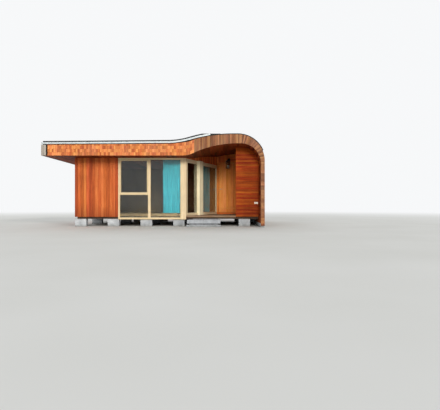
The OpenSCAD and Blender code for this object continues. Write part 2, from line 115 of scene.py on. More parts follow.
class RoofLine:
    """A line of the section: straight, hollow arc, long arc, straight, corner arc, upright leg."""

    def __init__(self, left, low, high, angle, r1, flat, r, leg_x, foot):
        self.left, self.low, self.high, self.angle, self.r, self.leg_x = left, low, high, angle, r, leg_x
        self.r2 = (high - low) / (1 - cos(angle)) - r1
        self.cx, self.cz = leg_x - r, high - r
        self.crest = self.cx - flat
        self.x0 = self.crest - (r1 + self.r2) * sin(angle)
        self.ends = [self.x0, self.x0 + r1 * sin(angle), self.crest, self.cx]
        self.runs = [self.x0 + HALF_W, r1 * angle, self.r2 * angle, flat, r * pi / 2, self.cz - foot]
        self.length = sum(self.runs)
        self.arcs = {1: (0, self.x0, low + r1, -r1), 2: (-angle, self.crest, high - self.r2, self.r2),
                     4: (0, self.cx, self.cz, r)}

    def z(self, x):
        """The line's height at x."""
        k = bisect(self.ends, x)
        if k == 0:
            return self.left + (self.low - self.left) * (x + HALF_W) / self.runs[0]
        if k == 3:
            return self.high
        _, cx, cz, r = self.arcs[k]
        return cz + copysign(sqrt(max(r ** 2 - (x - cx) ** 2, 0)), r)

    def under(self, x, z):
        """Whether a point of the section lies under the line."""
        return x <= self.leg_x and (x >= self.cx and z <= self.cz or z < self.z(x))

    def at(self, s, off):
        """The (x, z) at a distance s along from the left end, moved off outward."""
        k = 0
        while k < 5 and s > self.runs[k]:
            s -= self.runs[k]
            k += 1
        if k in self.arcs:
            start, x, z, r = self.arcs[k]
            nx, nz = sin(start + s / r), cos(start + s / r)
            x, z = x + r * nx, z + r * nz
        elif k == 0:
            x, z, nx, nz = s - HALF_W, self.left + (self.low - self.left) * (s / self.runs[0]), 0, 1
        elif k == 3:
            x, z, nx, nz = self.crest + s, self.high, 0, 1
        else:
            x, z, nx, nz = self.leg_x, self.cz - s, 1, 0
        return x + off * nx, z + off * nz

    def along(self, x):
        """The distance along the line to its long arc above x."""
        return sum(self.runs[:2]) + self.r2 * (self.angle - asin((self.crest - x) / self.r2))

    def down_to(self, z):
        """The distance along the line to its corner arc at height z."""
        return sum(self.runs[:4]) + self.r * acos((z - self.cz) / self.r)


INNER = RoofLine(EAVE, EAVE, ARCH, radians(25), r1=0.886, flat=0.113, r=0.740, leg_x=LEG_IN,
                 foot=LEG_FOOT)
OUTER = RoofLine(EDGE_LEFT, EDGE_WAVE, CREST, atan(7 / 24), r1=3.000, flat=0.171, r=0.985, leg_x=HALF_W,
                 foot=LEG_FOOT)
FAN = Vector(((INNER.cx + OUTER.cx) / 2, (INNER.cz + OUTER.cz) / 2))


def reach(line, angle):
    """Where a ray from FAN, turned clockwise from upright, meets the line."""
    way = Vector((sin(angle), cos(angle)))
    near, step = 0.0, 1.0
    for _ in range(40):
        if line.under(*(FAN + (near + step) * way)):
            near += step
        step /= 2
    return FAN + near * way


# Outlines of boards

def inset(outline, width):
    """A counter-clockwise outline, drawn in by width."""
    out = []
    for p, q, r in zip([outline[-1], *outline], outline, [*outline[1:], outline[0]]):
        p, q, r = Vector(p), Vector(q), Vector(r)
        before, after = (q - p).normalized(), (r - q).normalized()
        n1, n2 = Vector((-before.y, before.x)), Vector((-after.y, after.x))
        out.append(q + width * (n1 + n2) / max(1 + n1.dot(n2), 0.35))
    return out


def clip(outline, point, inward):
    """The part of a convex outline inward of a line through point."""
    out = []
    side = [(Vector(p) - point).dot(inward) for p in outline]
    for p, d, q, e in zip(outline, side, [*outline[1:], outline[0]], [*side[1:], side[0]]):
        if d >= 0:
            out.append(p)
        if d * e < 0:
            out.append(Vector(p).lerp(Vector(q), d / (d - e)))
    return out


def spaced(start, end, steps):
    """Values from start to end in even steps."""
    return [start + (end - start) * k / steps for k in range(steps + 1)]


def stations(start, end, pitch):
    """Values from start to end, no more than pitch apart."""
    return spaced(start, end, max(2, ceil((end - start) / pitch)))


def circle(sides):
    """The cosine and sine of each of some even turns."""
    return [(cos(a), sin(a)) for a in spaced(0, 2 * pi, sides)[:-1]]


def slim(a0, a1, by=GAP / 2):
    """Two edges drawn in, so that neighbours stand apart."""
    return a0 + by, a1 - by


def strip(a0, a1, low, high, steps=1):
    """The outline between two values of a and two functions of a."""
    across = spaced(a0, a1, steps)
    return [(a, low(a)) for a in across] + [(a, high(a)) for a in reversed(across)]


def rectangle(a0, a1, b0, b1):
    return [(a0, b0), (a1, b0), (a1, b1), (a0, b1)]


def mirrored(outline):
    return [(-a, b) for a, b in reversed(outline)]


def splits(start, end, pitch, rnd=None, spread=0.0):
    """Pairs of edges that divide a length into parts of about one pitch."""
    count = max(1, round((end - start) / pitch))
    step = (end - start) / count
    inner = [start + k * step + (rnd.uniform(-spread, spread) * step if rnd else 0) for k in range(1, count)]
    return list(zip([start, *inner], [*inner, end]))


# Planes that boards are set out on

class Face:
    """A flat face with its own a and b directions. Depth d runs outward from it."""

    def __init__(self, origin, a_axis, b_axis=UP):
        self.origin, self.a_axis, self.b_axis = Vector(origin), Vector(a_axis), Vector(b_axis)
        self.normal = self.a_axis.cross(self.b_axis)

    def __call__(self, a, b, d):
        return self.origin + a * self.a_axis + b * self.b_axis + d * self.normal


FRONT = Face((0, FRONT_Y, 0), (1, 0, 0))
REAR = Face((0, REAR_Y, 0), (-1, 0, 0))
LEFT = Face((LEFT_X, 0, 0), (0, -1, 0))
SCREEN_FACE = Face(P0, U)
DOOR_FACE = Face(P1, M)
CHEEK_FACE = Face(Q0, (CHEEK - Q0).normalized())
BAND_FRONT = Face((0, -HALF_D, 0), (1, 0, 0))
BAND_REAR = Face((0, HALF_D, 0), (-1, 0, 0))
BAND_LEFT = Face((-HALF_W, 0, 0), (0, -1, 0))
DECK = Face((0, 0, DECK_TOP), (1, 0, 0), (0, 1, 0))
AT_SCREEN = Matrix.Translation(P0) @ Matrix.Rotation(SCREEN_ANGLE, 4, "Z")
AT_DOOR = Matrix.Translation(P1) @ Matrix.Rotation(SCREEN_ANGLE - pi / 2, 4, "Z")


def on_soffit(y, s, d):
    """A point of the lining: y, distance s along the inner line, depth d downward."""
    x, z = INNER.at(s, -d)
    return Vector((x, y, z))


def on_outer(a, s, d):
    """A point over the outer line: a runs to the front, s along the line, depth d outward."""
    x, z = OUTER.at(s, d)
    return Vector((x, -a, z))


# Meshes

class Solids:
    """Small solids in one mesh, each with its grain and tone on its points."""

    def __init__(self, name, seed):
        self.name, self.rnd = name, random.Random(seed)
        self.points, self.faces, self.grain, self.tone = [], [], [], []

    def vary(self, most):
        return self.rnd.uniform(0, most)

    def rings(self, rings, grains, tone=None):
        """Joins rings, counter-clockwise seen from the run's end, and closes the ends."""
        start, count = len(self.points), len(rings[0])
        tone = self.rnd.random() if tone is None else tone
        for ring, grain in zip(rings, grains):
            self.points += ring
            self.grain += grain
            self.tone += [tone] * count
        last = start + (len(rings) - 1) * count
        for k in range(start, last, count):
            for i in range(count):
                j = (i + 1) % count
                self.faces.append((k + i, k + j, k + count + j, k + count + i))
        self.faces.append(tuple(reversed(range(start, start + count))))
        self.faces.append(tuple(range(last, last + count)))

    def board(self, outline, place, back, front, chamfer, upright=True, tone=None, lean=(0, 1, 0)):
        """A board of that outline from depth back to front, its front edges taken off.
        lean = (b where it is full, b where it is thin, how much thinner) tapers it."""
        seed = self.vary(60)
        full, thin, less = lean
        rings, grains = [], []
        for ring, depth, taper in (
            (outline, back, 0), (outline, front - chamfer, less), (inset(outline, chamfer), front, less),
        ):
            spots = [(a, b, depth - taper * (b - full) / (thin - full)) for a, b in ring]
            rings.append([place(*spot) for spot in spots])
            grains.append([(b, a + d, seed) if upright else (a, b + d, seed) for a, b, d in spots])
        self.rings(rings, grains, tone)

    def bar(self, low, high, along, matrix=Matrix(), chamfer=0.003, tone=None):
        """A bar between two corners, all edges taken off, its grain along axis 0, 1 or 2."""
        i, j = (along + 1) % 3, (along + 2) % 3
        seed = self.vary(60)
        low, high = Vector(low), Vector(high)
        start, end, a0, a1, b0, b1, c = low[along], high[along], low[i], high[i], low[j], high[j], chamfer
        outline = [(a0, b0 + c), (a0 + c, b0), (a1 - c, b0), (a1, b0 + c),
                   (a1, b1 - c), (a1 - c, b1), (a0 + c, b1), (a0, b1 - c)]
        narrow = inset(outline, c)
        ends = ((start, narrow), (start + c, outline), (end - c, outline), (end, narrow))
        # Each spot is (along, i, j), and is turned round to (x, y, z)
        spots = [[(at, a, b) for a, b in ring] for at, ring in ends]
        rings = [[matrix @ Vector(p[-along:] + p[:-along]) for p in ring] for ring in spots]
        self.rings(rings, [[(at, a + b, seed) for at, a, b in ring] for ring in spots], tone)

    def sweep(self, stops, section):
        """A section of (y, off) points, run from stop to stop along the outer line."""
        seed = self.vary(60)
        rings = [[on_outer(-y, s, off) for y, off in section] for s in stops]
        self.rings(rings, [[(s, y, seed) for y, off in section] for s in stops])

    def lathe(self, profile, matrix, sides):
        """A turned solid: (radius, height) points from the bottom up, about the matrix's Z."""
        rings = [[matrix @ Vector((r * c, r * s, h)) for c, s in circle(sides)] for r, h in profile]
        self.rings(rings, rings)

    def tube(self, route, radius, matrix, sides=10):
        """A round bar along a route of points."""
        route = [Vector(p) for p in route]
        rings = []
        for last, p, after in zip([route[0], *route], route, [*route[1:], route[-1]]):
            way = (after - last).normalized()
            across = way.cross(Vector((1, 0, 0))).normalized()
            over = across.cross(way)
            rings.append([matrix @ (p + radius * (c * over + s * across)) for c, s in circle(sides)])
        self.rings(rings, rings)

    def build(self, material, slot, *replaced, body="cabin", smooth=None):
        mesh = make_piece(self.name, self.points, self.faces, [material], body, replaced, smooth).data
        grain = mesh.attributes.new("grain", "FLOAT_VECTOR", "POINT")
        grain.data.foreach_set("vector", [v for g in self.grain for v in g])
        mesh.attributes.new("tone", "FLOAT", "POINT").data.foreach_set("value", self.tone)


def add_object(name, data):
    item = bpy.data.objects.new(name, data)
    scene.collection.objects.link(item)
    return item


def make_piece(name, points, faces, materials, body, replaced, smooth=None):
    """A mesh in the scene that rides on a body and stands for the CAD nodes named."""
    mesh = bpy.data.meshes.new(name)
    mesh.from_pydata(points, [], faces)
    piece = add_object(name, mesh)
    for material in materials:
        mesh.materials.append(material)
    if smooth:
        mesh.shade_smooth()
        mesh.set_sharp_from_angle(angle=radians(smooth))
    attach(piece, body)
    if replaced:
        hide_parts(*replaced)
    return piece


# Materials

SKY = (0.93, 0.94, 0.95, 1)


def colour(r, g, b):
    """A colour given as it shows on a screen, 0 to 255."""
    return tuple(((v / 255 + 0.055) / 1.055) ** 2.4 if v > 10 else v / 255 / 12.92 for v in (r, g, b)) + (1,)


class Shader:
    """A material or a world. Each call adds a node and gives back its output."""

    def __init__(self, name, home=bpy.data.materials):
        self.owner = home.new(name)
        self.owner.use_nodes = True
        self.tree = self.owner.node_tree
        self.tree.nodes.clear()

    def add(self, kind, output=0, *values, **named):
        """Values fill inputs in order; names fill one each, or in lower case a setting."""
        node = self.tree.nodes.new("ShaderNode" + kind)
        for key in [key for key in named if key.islower()]:
            setattr(node, key, named.pop(key))
        sockets = [node.inputs[key.replace("_", " ")] for key in named]
        for socket, value in [*zip(node.inputs, values), *zip(sockets, named.values())]:
            if isinstance(value, bpy.types.NodeSocket):
                self.tree.links.new(value, socket)
            else:
                socket.default_value = value
        return node.outputs[output]

    def position(self):
        return self.add("NewGeometry", "Position")

    def height(self):
        return self.add("SeparateXYZ", 2, self.position())

    def noise(self, vector, scale, detail, roughness, distortion=0.0):
        """Noise of one scale, or of a scale for each axis."""
        if isinstance(scale, tuple):
            vector, scale = self.add("Mapping", Vector=vector, Scale=scale), 1.0
        return self.add("TexNoise", "Fac", Vector=vector, Scale=scale, Detail=detail, Roughness=roughness,
                        Distortion=distortion)

    def ramp(self, fac, *stops):
        out = self.add("ValToRGB", "Color", fac)
        elements = out.node.color_ramp.elements
        while len(elements) < len(stops):
            elements.new(0.5)
        for element, (at, value) in zip(elements, stops):
            element.position = at
            element.color = value if isinstance(value, tuple) else (value, value, value, 1)
        return out

    def range(self, value, low, high, start=0.0, end=1.0, how="LINEAR"):
        """Maps start..end to low..high, and holds outside."""
        return self.add("MapRange", "Result", value, start, end, low, high, interpolation_type=how)

    def mix(self, fac, a, b, how="MIX"):
        return self.add("MixRGB", 0, fac, a, b, blend_type=how)

    def math(self, how, *values):
        return self.add("Math", 0, *values, operation=how)

    def centred(self, value, gain):
        """The value less a half, times gain."""
        return self.math("MULTIPLY_ADD", value, gain, -0.5 * gain)

    def principled(self, tint, rough, shine=0.5, **inputs):
        return self.add("BsdfPrincipled", 0, Base_Color=tint, Roughness=rough, Specular_IOR_Level=shine,
                        **inputs)

    def surface(self, tint, rough, shine, bumps, strength, depth, **inputs):
        """The finished material, with bumps of a strength and a depth."""
        normal = self.add("Bump", "Normal", Height=bumps, Strength=strength, Distance=depth)
        return self.done(self.principled(tint, rough, shine, Normal=normal, **inputs))

    def blend(self, *values):
        return self.add("MixShader", 0, *values)

    def done(self, shader, kind="Material"):
        output = self.tree.nodes.new("ShaderNodeOutput" + kind)
        self.tree.links.new(shader, output.inputs["Surface"])
        return self.owner


def shade_of(rgb, factor):
    return tuple(factor * v for v in rgb[:3]) + (1,)


def wood(name, dark, middle, light, rough=0.6, along=None, spread=0.6, streak=1.1, grey=0.0, knots=0.5,
         damp=0.0, shine=0.3):
    """Boards, each with its own tone, fine grain, a few knots and some weathering."""
    sh = Shader(name)
    dark, middle, light = colour(*dark), colour(*middle), colour(*light)
    where = sh.position()
    if along is None:
        grain = sh.add("Attribute", "Vector", attribute_name="grain")
        tone = sh.add("Attribute", "Fac", attribute_name="tone")
    else:
        axes = sh.add("SeparateXYZ", 0, where).node.outputs
        grain = sh.add("CombineXYZ", 0, *(axes[axis] for axis in along))
        tone = 0.5
    wide = sh.noise(grain, (0.8, 17, 1), 3, 0.5, 0.5)
    streaks = sh.noise(grain, (1.6, 62, 1), 5, 0.62, 0.4)
    fine = sh.noise(grain, (9, 330, 1), 2, 0.6)
    level = sh.math("ADD", sh.centred(tone, spread), sh.centred(streaks, streak))
    level = sh.math("ADD", level, sh.centred(wide, 0.6 * streak))
    base = sh.ramp(sh.math("ADD", level, 0.5), (0.08, dark), (0.5, middle), (0.92, light))
    hue = sh.range(sh.math("FRACT", sh.math("MULTIPLY", tone, 7.3)), 0.493, 0.507)
    base = sh.add("HueSaturation", "Color", Hue=hue, Color=base)
    for shadow in (fine, sh.noise(where, 1.3, 3, 0.6)):
        base = sh.mix(1.0, base, sh.ramp(shadow, (0.3, 0.84), (0.6, 1.0)), "MULTIPLY")
    if knots:
        spots = sh.add("Mapping", Vector=grain, Scale=(1.7, 9, 1))
        cells = sh.add("TexVoronoi", 0, Vector=spots, Scale=1.0).node.outputs
        few = sh.math("GREATER_THAN", cells["Color"], 0.52)
        knot = sh.math("MULTIPLY", sh.range(cells["Distance"], knots, 0.0, 0.03, 0.10), few)
        base = sh.mix(knot, base, shade_of(dark, 0.35))
    if grey:
        worn = sh.ramp(sh.noise(where, (2.3, 2.3, 1.1), 4, 0.7), (0.42, 0.0), (0.66, grey))
        base = sh.mix(worn, base, colour(152, 145, 134))
    if damp:
        foot = sh.math("ADD", sh.height(), sh.centred(streaks, 0.5))
        base = sh.mix(sh.range(foot, damp, 0.0, 0.34, 0.86), base, shade_of(dark, 0.55))
    rough = sh.range(fine, rough - 0.1, rough + 0.14)
    return sh.surface(base, rough, shine, sh.mix(0.5, streaks, fine), 0.3, 0.002)


def stone(name, dark, light, speck=0.35):
    """Concrete or stone: mottled, speckled, stained near the ground."""
    sh = Shader(name)
    dark, light = colour(*dark), colour(*light)
    where = sh.position()
    cloud = sh.noise(where, 3.1, 6, 0.65, 0.3)
    grit = sh.noise(where, 190, 3, 0.7)
    base = sh.ramp(cloud, (0.32, dark), (0.68, light))
    base = sh.mix(sh.ramp(grit, (0.55, 0.0), (0.72, speck)), base, shade_of(dark, 0.6))
    foot = sh.math("ADD", sh.height(), sh.math("MULTIPLY", cloud, 0.16))
    base = sh.mix(sh.range(foot, 0.55, 0.0, 0.07, 0.19), base, colour(96, 96, 84))
    return sh.surface(base, 0.85, 0.25, sh.mix(0.6, cloud, grit), 0.5, 0.004)


def metal(name, base, rough, metallic, streak=0.2, dirt=0.25):
    """Sheet or cast metal with fine brushing and dull patches."""
    sh = Shader(name)
    base = colour(*base)
    where = sh.position()
    brushed = sh.noise(where, (4, 4, 300), 3, 0.6)
    blots = sh.noise(where, 6.5, 5, 0.65, 0.4)
    tint = sh.mix(sh.ramp(brushed, (0.35, streak), (0.65, 0.0)), base, shade_of(base, 0.62))
    tint = sh.mix(sh.ramp(blots, (0.52, 0.0), (0.74, dirt)), tint, colour(70, 66, 56))
    rough = sh.range(blots, rough - 0.08, rough + 0.18)
    return sh.surface(tint, rough, 0.5, brushed, 0.12, 0.001, Metallic=metallic)


def roofing(name, base, light):
    """Dull black roofing sheet, dusty in places."""
    sh = Shader(name)
    where = sh.position()
    dust = sh.noise(where, 1.4, 6, 0.68, 0.5)
    grain = sh.noise(where, 260, 2, 0.6)
    tint = sh.ramp(dust, (0.38, colour(*base)), (0.75, colour(*light)))
    return sh.surface(tint, 0.72, 0.3, sh.mix(0.4, dust, grain), 0.35, 0.004)


def cloth(name, dark, light):
    """Woven curtain cloth."""
    sh = Shader(name)
    where = sh.position()
    dark, light = colour(*dark), colour(*light)
    weave = sh.add("TexWave", "Fac", Vector=where, Scale=170.0, Distortion=0.6, bands_direction="Z")
    slub = sh.noise(where, (40, 40, 2), 4, 0.6)
    tint = sh.ramp(slub, (0.3, dark), (0.7, light))
    tint = sh.mix(sh.ramp(weave, (0.2, 0.16), (0.6, 0.0)), tint, shade_of(dark, 0.6))
    return sh.surface(tint, 0.9, 0.15, weave, 0.25, 0.0008, Sheen_Weight=0.3)


def glass(name, tint):
    """Glass with a faint film of dust, which lets the lamps' light through."""
    sh = Shader(name)
    film = sh.noise(sh.position(), 3.2, 5, 0.65)
    pane = sh.principled(tint, sh.range(film, 0.02, 0.10, 0.4, 0.8), IOR=1.45, Transmission_Weight=1.0)
    clear = sh.add("BsdfTransparent", Color=shade_of(tint, 0.85))
    return sh.done(sh.blend(sh.add("LightPath", "Is Shadow Ray"), pane, clear))


EDGE = wood("edge_cedar", (164, 80, 34), (212, 118, 56), (238, 154, 86), 0.62, spread=0.7, grey=0.10, knots=0)
# A darker copy of the edge cedar: painted shade on the arch and leg boards.
SHADED_EDGE = wood("arch_cedar_painted_shade", (102, 57, 28), (146, 91, 52), (182, 125, 80), 0.62,
                 spread=0.7, grey=0.15, knots=0)
WALL = wood("wall_cedar", (142, 62, 26), (196, 94, 44), (226, 132, 72), damp=0.5, shine=0.15)
# Much darker than the same cedar over the screen and door: painted shade under the roof.
PORCH = wood("porch_cedar", (76, 26, 8), (124, 52, 20), (162, 78, 36), 0.58, shine=0.1)
OVER = wood("over_cedar", (176, 78, 32), (222, 116, 54), (248, 154, 86), 0.58, shine=0.1)
RED = wood("red_cedar", (98, 30, 5), (156, 60, 14), (204, 104, 34), 0.56, spread=0.38, damp=0.35, shine=0.08)
DOOR = wood("door_wood", (194, 96, 38), (230, 136, 62), (248, 172, 100), 0.5, damp=0.3, shine=0.12)
PALE = wood("pale_frame", (186, 156, 114), (222, 198, 156), (238, 220, 184), 0.5,
            spread=0.4, streak=0.8, knots=0.2)
# A lighter copy of the pale frame: painted light on the screen's bars.
CREAM_PAINTED_LIGHT = wood("cream_frame_painted_light", (212, 188, 148), (244, 226, 188), (252, 242, 214), 0.5,
             spread=0.3, streak=0.7, knots=0)
GREY = wood("grey_board", (98, 90, 82), (146, 138, 128), (188, 180, 170), 0.75, grey=0.5)
DECKING = wood("deck_board", (84, 58, 40), (128, 96, 70), (160, 128, 98), 0.7, grey=0.3)
JOISTS = wood("frame_timber", (46, 34, 26), (72, 54, 42), (96, 74, 58), 0.8, along="XYZ")
# Floor and inner boards made darker so the room reads dim: painted shade.
SHADED_FLOOR = wood("floor_board", (104, 74, 46), (140, 104, 68), (168, 130, 90), 0.45, along="XYZ")
SHADED_INSIDE = wood("inner_board_painted_shade", (98, 72, 50), (132, 100, 70), (158, 124, 90), along="ZXY")
# A dark copy of the frame wood for the bars behind the glass: painted shade.
SHADED_INNER_FRAME = wood("inner_frame_painted_shade", (62, 44, 28), (88, 66, 44), (110, 84, 58), knots=0)
# Near-black: painted shade for what shows through gaps and behind the boards.
SHADE_BACKING = wood("dark_backing_painted_shade", (20, 12, 8), (30, 18, 12), (40, 26, 18), 0.85, along="ZXY")
CONCRETE = stone("concrete", (150, 154, 160), (198, 202, 206))
SLAB = stone("stone_slab", (132, 136, 142), (176, 180, 186), 0.45)
MEMBRANE = roofing("black_sheet", (24, 24, 25), (50, 50, 50))
TRIM = metal("pale_trim", (184, 192, 196), 0.42, 0.2, 0.15, 0.35)
STEEL = metal("handle_steel", (176, 178, 180), 0.32, 1.0)
IRON = metal("dark_metal", (58, 60, 56), 0.5, 0.6)
COVER = metal("white_cover", (246, 242, 232), 0.5, 0.0, 0.1, 0.1)
CURTAIN = cloth("curtain", (22, 112, 130), (68, 178, 194))
GLASS = glass("window_glass", (0.80, 0.88, 0.86, 1))


# Pieces: the bands of boards along the roof's edge

def band_boards():
    """The narrow boards from the wave to the leg's foot: each outline and its screws."""
    for x0, x1 in splits(TILE_END_X, FAN.x, BAND_PITCH):
        x = (x0 + x1) / 2
        screws = [(x, INNER.z(x) + SCREW_ARCH), (x, OUTER.z(x) - SCREW_ARCH)]
        yield strip(*slim(x0, x1), INNER.z, OUTER.z, 2), screws
    for a0, a1 in splits(0, pi / 2, BAND_PITCH / OUTER.r):
        low, high = reach(INNER, (a0 + a1) / 2), reach(OUTER, (a0 + a1) / 2)
        edge = SCREW_FAN * (high - low).normalized()
        a0, a1 = slim(a0, a1, 0.5 * GAP / OUTER.r)
        corners = ((INNER, a0), (INNER, a1), (OUTER, a1), (OUTER, a0))
        yield [reach(*corner) for corner in corners], [low + edge, high - edge]
    for z0, z1 in splits(BAND_FOOT, FAN.y, BAND_PITCH):
        z = (z0 + z1) / 2
        yield rectangle(LEG_IN, HALF_W, *slim(z0, z1)), [(LEG_IN + SCREW_LEG, z), (HALF_W - SCREW_LEG, z)]


def screw(solids, face, a, b, d):
    """The small round head of a screw on a face."""
    turned = Matrix((face.a_axis, face.b_axis, face.normal)).transposed().to_4x4()
    head = [(0.0045, -0.002), (0.0045, 0.0002), (0.003, 0.0008)]
    solids.lathe(head, Matrix.Translation(face(a, b, d)) @ turned, 8)


def edge_boards():
    """Small tiles in courses along the straight edge and the start of the wave."""
    tiles = Solids("edge_boards", 11)
    for face, start, turn in ((BAND_FRONT, TILE_START - HALF_W, list), (BAND_REAR, -HALF_W, mirrored)):
        for lift in (course * TILE_H for course in range(4)):
            for x0, x1 in splits(start, TILE_END_X, TILE_W, tiles.rnd, 0.22):
                middle = (x0 + x1) / 2
                low = INNER.z(middle) + lift
                if low > OUTER.z(middle) - 0.024:
                    continue
                drop = tiles.vary(0.003) if lift else 0
                outline = strip(*slim(x0, x1), lambda x: INNER.z(x) + lift - drop,
                                lambda x: min(INNER.z(x) + lift + TILE_H - 0.002, OUTER.z(x) - 0.002))
                tiles.board(turn(outline), face, -0.016, -tiles.vary(0.002), 0.0015,
                            lean=(low - 0.02, low + TILE_H, 0.007))
    tiles.build(EDGE, "edge_cedar")


def arch_boards():
    arch, heads = Solids("arch_boards", 12), Solids("arch_screws", 14)
    for face, turn in ((BAND_FRONT, list), (BAND_REAR, mirrored)):
        for k, (outline, screws) in enumerate(band_boards()):
            depth = arch.rnd.uniform(0.001, 0.003) + (0.003 if k % 2 else 0)
            arch.board(turn(outline), face, -0.020, -depth, 0.002)
            for a, b in turn(screws):
                screw(heads, face, a, b, -depth)
    arch.build(SHADED_EDGE, "edge_cedar")
    heads.build(IRON, "dark_metal")


def corner_boards():
    """The grey boards on the left side and round its front corner."""
    corner = Solids("corner_boards", 13)
    for x0, x1 in splits(-HALF_W, CORNER_STRIP - HALF_W, CORNER_PITCH):
        corner.board(strip(*slim(x0, x1), INNER.z, OUTER.z), BAND_FRONT, -CLAD, 0, 0.003)
    inner_y = HALF_D - BAND_T + 0.018
    for a0, a1 in splits(-inner_y, inner_y, 0.092, corner.rnd, 0.06):
        outline = rectangle(*slim(a0, a1), EAVE, EDGE_LEFT - 0.002)
        corner.board(outline, BAND_LEFT, -CLAD, -corner.vary(0.003), 0.0025)
    corner.build(GREY, "grey_board")


# Pieces: cores, copied from the frame with their clad faces moved in

def core(name, nodes, faces, material):
    """One piece for several nodes. Each of faces gives the move of a point."""
    faces, points, polygons, moved = list(faces), [], [], []
    for node in nodes:
        mesh = frame["nodes"][node].data
        polygons += [[len(points) + v for v in p.vertices] for p in mesh.polygons]
        moves = [sum((shift(v.co) for shift in faces), Vector()) for v in mesh.vertices]
        points += [v.co + move for v, move in zip(mesh.vertices, moves)]
        moved += [move.length > 0 for move in moves]
    # Faces hidden behind the boards take the near-black backing: painted shade in the gaps.
    piece = make_piece(name, points, polygons, [material, SHADE_BACKING], "cabin", nodes)
    for polygon in piece.data.polygons:
        polygon.material_index = int(all(moved[v] for v in polygon.vertices))


def shift_in(face, reach_a=None):
    """For core: moves what lies on a face inward by the cladding's thickness."""
    def shift(point):
        a = (point - face.origin).dot(face.a_axis)
        away = abs((point - face.origin).dot(face.normal)) > 2e-4
        if away or reach_a and not reach_a[0] - 1e-3 <= a <= reach_a[1] + 1e-3:
            return Vector()
        return -CLAD * face.normal
    return shift


def shift_leg(point):
    """For core: moves the outer side of the shoulder and the leg inward."""
    dx, dz = point.x - OUTER.cx, point.z - OUTER.cz
    if dz > 0 and dx > 0.001 and abs(hypot(dx, dz) - OUTER.r) < 2e-3:
        return -CLAD * Vector((dx, 0, dz)).normalized()
    if abs(point.x - HALF_W) < 2e-4:
        return Vector((-CLAD, 0, 0))
    return Vector()


def cores():
    core("outer_wall_cores", ["left_wall", "front_wall_left", "rear_wall_left", "rear_wall_right"],
         map(shift_in, (FRONT, REAR, LEFT)), SHADED_INSIDE)
    core("porch_wall_cores", ["wall_over_screen", "wall_over_door", "porch_side_wall", "right_front_wall"],
         [shift_in(FRONT), shift_in(SCREEN_FACE, (0, SCREEN_LEN)), shift_in(DOOR_FACE, (0, DOOR_WALL)),
          shift_in(CHEEK_FACE)], SHADED_INSIDE)
    core("edge_cores", ["fascia_corner", "fascia_left", "fascia_wave", "fascia_crown", "fascia_leg",
                        "fascia_left_side"],
         map(shift_in, (BAND_FRONT, BAND_REAR, BAND_LEFT)), SHADE_BACKING)
    core("leg_cores", ["roof_shoulder", "shell_wall_right"], [shift_leg], SHADE_BACKING)


# Pieces: boards on the walls

def upright_boards(solids, face, a0, a1, foot, pitch=WALL_PITCH):
    """Upright boards on a wall from height foot up to the soffit."""
    top = soffit_over(face)
    for b0, b1 in splits(a0, a1, pitch, solids.rnd, 0.04):
        low = foot - solids.vary(0.004)
        outline = strip(*slim(b0, b1), lambda a: low, lambda a: top(a) - 0.002, 2)
        solids.board(outline, face, -CLAD, -solids.vary(0.003), 0.003)


def flat_boards(solids, face, a0, a1, foot):
    """Level boards on a wall up to the soffit, each a little proud at its foot."""
    top = soffit_over(face)
    high = max(top(a) for a in spaced(a0, a1, 40))
    for course, (z0, z1) in enumerate(splits(foot, high, FLAT_PITCH)):
        inside = [a for a in spaced(a0, a1, 60) if top(a) > z0 + 0.012]
        if len(inside) < 2:
            continue
        left, right = slim(inside[0], inside[-1])
        cut = min(top(left), top(right)) < z1 + 0.01
        outline = strip(left, right, lambda a: z0, lambda a: min(z1 - GAP, top(a) - 0.002), 14 if cut else 1)
        tone = (0.34 if course % 2 else 0.60) + solids.rnd.uniform(-0.22, 0.22)
        solids.board(outline, face, -CLAD, -solids.vary(0.002), 0.004, False, tone, (z0, z1, 0.004))


def soffit_over(face):
    """The soffit's height over a face, as a function of a."""
    return lambda a: INNER.z((face.origin + a * face.a_axis).x)


def wall_boards():
    walls = Solids("wall_boards", 21)
    foot = WALL_FOOT - 0.020
    upright_boards(walls, FRONT, LEFT_X, WIN_X0, foot)
    upright_boards(walls, LEFT, CLAD - REAR_Y, -FRONT_Y - CLAD, foot)
    upright_boards(walls, REAR, -LEG_IN, -LEFT_X, foot)
    walls.build(WALL, "wall_cedar")


def porch_boards():
    over = Solids("porch_boards", 22)
    turn_at, door_head = 0.630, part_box("door_frame")[1][2]
    upright_boards(over, SCREEN_FACE, POST_LEN, SCREEN_LEN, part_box("screen_frame")[1][2], PORCH_PITCH)
    upright_boards(over, DOOR_FACE, 0, turn_at, door_head, PORCH_PITCH)
    flat_boards(over, DOOR_FACE, turn_at, DOOR_WALL, door_head)
    over.build(OVER, "porch_cedar")


def side_boards():
    side = Solids("side_boards", 23)
    flat_boards(side, FRONT, CHEEK_X, LEG_IN, WALL_FOOT - 0.015)
    flat_boards(side, CHEEK_FACE, 0, (CHEEK - Q0).length - CLAD, DECK_TOP + 0.002)
    side.build(RED, "red_cedar")


def long_boards(solids, place, back, start, end, pitch, uneven, taper=0):
    """Boards from front to back, side by side from start to end of a line of the roof."""
    inner_y = HALF_D - BAND_T
    for s0, s1 in splits(start, end, pitch):
        for y0, y1 in splits(-inner_y, inner_y, 2.1, solids.rnd, 0.3):
            outline = rectangle(*slim(y0, y1), *slim(s0, s1))
            solids.board(outline, place, -back, -solids.vary(uneven), 0.002, False,
                         lean=(s1, s0, taper))


def soffit_boards():
    soffit = Solids("soffit_boards", 31)
    long_boards(soffit, on_soffit, LINING, BAND_T, INNER.length, SOFFIT_PITCH, 0.0015)
    # The soffit boards take the dark porch cedar: painted shade.
    soffit.build(PORCH, "porch_cedar", "ceiling_left", "arch_lining")


def leg_boards():
    leg = Solids("leg_boards", 32)
    start = OUTER.down_to(MEMBRANE_END_Z + 0.10)
    long_boards(leg, on_outer, CLAD, start, OUTER.length, BAND_PITCH, 0.002, 0.005)
    leg.build(SHADED_EDGE, "edge_cedar")


# Pieces: the roof's sheet and its edge

